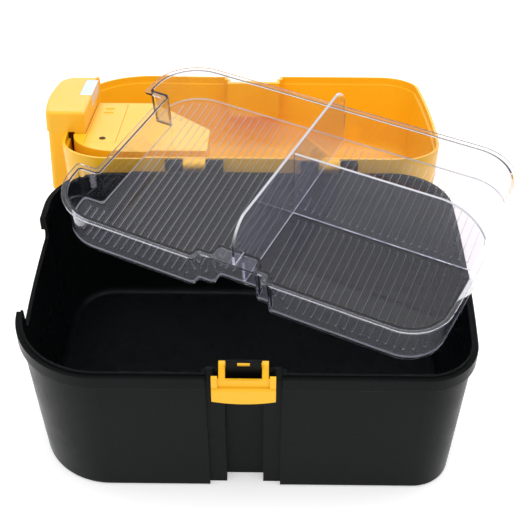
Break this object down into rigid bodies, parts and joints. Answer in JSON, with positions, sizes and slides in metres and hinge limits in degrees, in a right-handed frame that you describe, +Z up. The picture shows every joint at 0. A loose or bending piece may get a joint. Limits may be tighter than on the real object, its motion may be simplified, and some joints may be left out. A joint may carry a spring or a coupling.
{
  "type": "storage tool box",
  "caption": "Open plastic storage box with a hinged lid that holds a lamp, a latch lever and a clear divided tray laid across the rim.",
  "frame": {"origin": "on the table, under the middle of the base", "axes": "+X to the right along the box's front, +Y to the rear, +Z up"},
  "size_m": [0.3838, 0.4551, 0.1944],
  "materials": {
    "black_plastic": "satin",
    "steel": "brushed",
    "yellow_plastic": "satin",
    "pale_yellow_plastic": "satin",
    "lens_clear": "polished",
    "window_white": "translucent",
    "reflector": "polished",
    "board_green": "satin",
    "board_white": "satin",
    "led": "polished",
    "cell_wrap": "satin",
    "switch_black": "satin",
    "wire": "satin",
    "clear_tray": "polished"
  },
  "bodies": {
    "base": {"base_shell": "black_plastic", "hinge_pin_left": "steel", "hinge_pin_right": "steel"},
    "latch": {"latch_lever": "yellow_plastic"},
    "lid": {"lid_shell": "yellow_plastic", "lamp_head": "pale_yellow_plastic", "inner_light_window": "window_white", "lamp_lens": "lens_clear", "lamp_reflector": "reflector", "lamp_board": "board_white", "lamp_led": "led", "battery_housing": "yellow_plastic", "housing_screws": "steel", "battery_cells": "cell_wrap", "battery_plates": "steel", "battery_springs": "steel", "circuit_board": "board_green", "switch_body": "switch_black", "carry_handle": "switch_black", "handle_screws": "steel", "lamp_wires": "wire", "battery_wires": "wire"},
    "cover": {"battery_cover": "yellow_plastic", "battery_cover_screw": "steel"},
    "button": {"switch_button": "switch_black"},
    "tray": {"tray_shell": "clear_tray", "long_divider": "clear_tray", "cross_divider": "clear_tray"}
  },
  "joints": [
    {"name": "latch_pivot", "type": "hinge", "parent": "base", "child": "latch", "pos_m": [0, -0.1046, 0.1298], "axis": [-1, 0, 0], "range_deg": [0, 170]},
    {"name": "lid_hinge", "type": "hinge", "parent": "base", "child": "lid", "pos_m": [0, 0.117, 0.1285], "axis": [1, 0, 0], "range_deg": [0, 20]},
    {"name": "battery_cover_slide", "type": "slide", "parent": "lid", "child": "cover", "axis": [0, 0.2581, 0.9661], "range_m": [0, 0.025]},
    {"name": "switch_press", "type": "slide", "parent": "lid", "child": "button", "axis": [0, 0.2581, 0.9661], "range_m": [0, 0.0015], "stiffness_N_per_m": 400, "springref_m": -0.001},
    {"name": "tray_lift", "type": "slide", "parent": "base", "child": "tray", "axis": [0, 0, 1], "range_m": [0, 0.15]}
  ]
}
